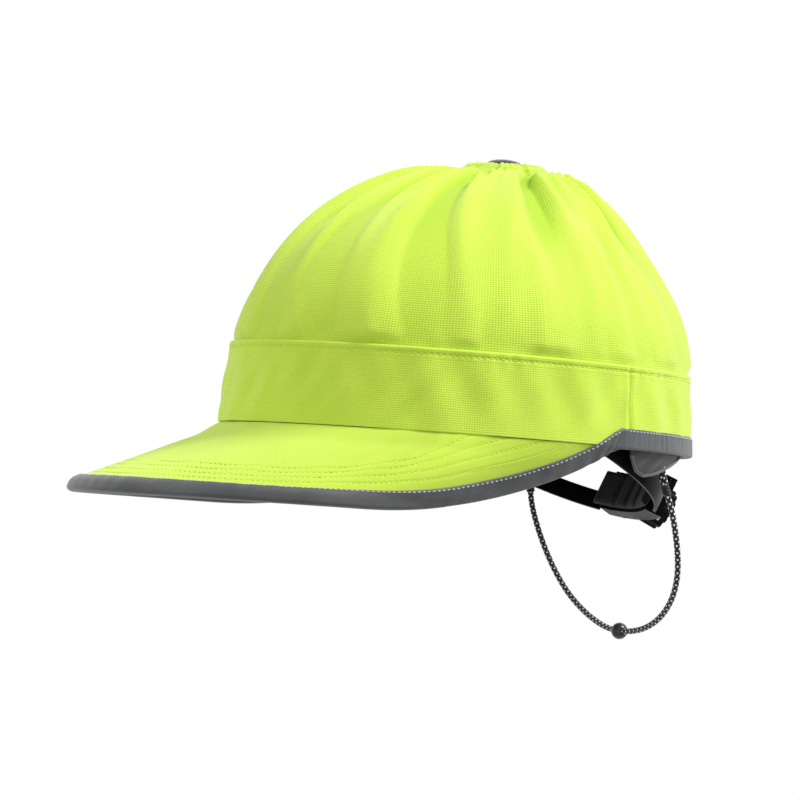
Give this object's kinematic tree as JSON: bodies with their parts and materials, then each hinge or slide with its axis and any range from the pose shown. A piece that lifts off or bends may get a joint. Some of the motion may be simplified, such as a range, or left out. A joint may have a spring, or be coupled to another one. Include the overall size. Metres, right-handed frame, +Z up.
{
  "type": "bump cap",
  "caption": "High-visibility bump cap: gathered fabric cover over a hard shell, bound brim, elastic nape cord with a bead, and a ratchet nape band that tilts.",
  "frame": {"origin": "middle of the head opening, in the plane of the cap's hem, where the head holds it", "axes": "+Z up through the crown, brim towards -Y, nape towards +Y, +X to the wearer's left"},
  "size_m": [0.1856, 0.3087, 0.2241],
  "materials": {
    "cover_fabric": "fine knit, matt",
    "reflective": "retro-reflective, semi-matt",
    "board": "matt",
    "shell": "satin",
    "foam": "closed-cell foam, matt",
    "button": "gloss",
    "harness": "gloss",
    "sweat": "towelling",
    "pin_steel": "satin",
    "cord": "braided, with light flecks",
    "bead": "gloss",
    "knob": "satin",
    "webbing": "woven"
  },
  "bodies": {
    "cap": {"crown_fabric": "cover_fabric", "crown_gather_elastic": "cover_fabric", "band_front": "cover_fabric", "band_rear": "cover_fabric", "brim_top_fabric": "cover_fabric", "brim_board": "board", "brim_under_fabric": "cover_fabric", "brim_binding": "reflective", "hem_binding": "reflective", "hem_facing": "reflective", "bump_shell": "shell", "crown_pad": "foam", "brow_pad": "foam", "side_pads": "foam", "rear_pad": "foam", "top_button": "button", "headband": "harness", "sweatband": "sweat", "headband_clips": "harness", "clip_rivets": "pin_steel", "nape_pivot_pins": "pin_steel", "cord_anchors": "webbing", "elastic_cord": "cord", "cord_bead": "bead", "cord_ferrules": "cord"},
    "nape_yoke": {"nape_lug_left": "harness", "nape_lug_right": "harness", "arm_hinge_pins": "pin_steel"},
    "arm_left": {"nape_arm_left": "harness"},
    "arm_right": {"nape_arm_right": "harness"},
    "adjuster": {"adjuster_back": "harness", "adjuster_cover": "harness", "housing_screws": "pin_steel", "nape_pad": "foam"},
    "knob": {"fit_knob": "knob", "fit_pinion": "knob", "pinion_shaft": "pin_steel"}
  },
  "joints": [
    {"name": "nape_tilt", "type": "hinge", "parent": "cap", "child": "nape_yoke", "pos_m": [0, 0.029, 0.006], "axis": [1, 0, 0], "range_deg": [-12, 1]},
    {"name": "fit_slide", "type": "slide", "parent": "nape_yoke", "child": "adjuster", "axis": [0, -0.9135, 0.4067], "range_m": [-0.002, 0.0036]},
    {"name": "arm_left_swing", "type": "hinge", "parent": "nape_yoke", "child": "arm_left", "pos_m": [0.077, 0.029, 0.006], "axis": [0, 0.4067, 0.9135], "range_deg": [-1.59, 2.78]},
    {"name": "arm_right_swing", "type": "hinge", "parent": "nape_yoke", "child": "arm_right", "pos_m": [-0.077, 0.029, 0.006], "axis": [0, -0.4067, -0.9135], "range_deg": [-1.59, 2.78]},
    {"name": "knob_turn", "type": "hinge", "parent": "adjuster", "child": "knob", "pos_m": [0, 0.10158, -0.02029], "axis": [0, -0.9135, 0.4067], "range_deg": [-29.3, 51.9]}
  ],
  "couplings": [
    {"joint": "arm_left_swing", "follows": "fit_slide", "rad_per_m": 12.987},
    {"joint": "arm_right_swing", "follows": "fit_slide", "rad_per_m": 12.987},
    {"joint": "knob_turn", "follows": "fit_slide", "rad_per_m": 246.91}
  ]
}
